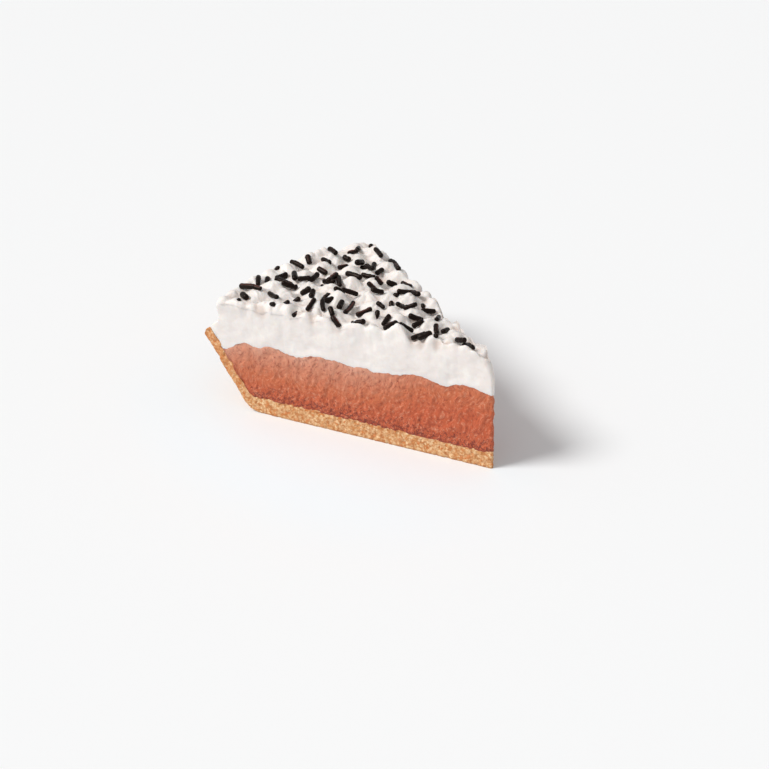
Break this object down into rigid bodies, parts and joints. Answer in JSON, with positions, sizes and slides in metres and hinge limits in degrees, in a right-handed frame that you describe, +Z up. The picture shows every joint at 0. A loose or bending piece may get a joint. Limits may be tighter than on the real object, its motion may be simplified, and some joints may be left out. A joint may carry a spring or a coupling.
{
  "type": "chocolate cream pie slice",
  "caption": "Wedge of chocolate cream pie: crumb crust under and behind a chocolate filling, topped with whipped cream and strewn with chocolate sprinkles.",
  "frame": {"origin": "centre of the slice's length and width, on the surface that it stands on, under the flat crust", "axes": "+Z up; +Y from the slice's narrow tip to its raised crust, its length; X across it, with the cut face that looks towards -X nearest the camera of the picture"},
  "size_m": [0.0803, 0.1127, 0.0483],
  "materials": {
    "crumb_crust": "matte, baked crumbs, golden brown, grainy",
    "chocolate_filling": "smooth set chocolate cream, reddish brown, soft sheen, paler towards its top",
    "whipped_cream": "soft white whipped cream, satin, with near-black chocolate sprinkles pressed into it"
  },
  "bodies": {
    "root": {"crumb_crust": "crumb_crust", "chocolate_filling": "chocolate_filling", "whipped_cream": "whipped_cream"}
  },
  "joints": []
}
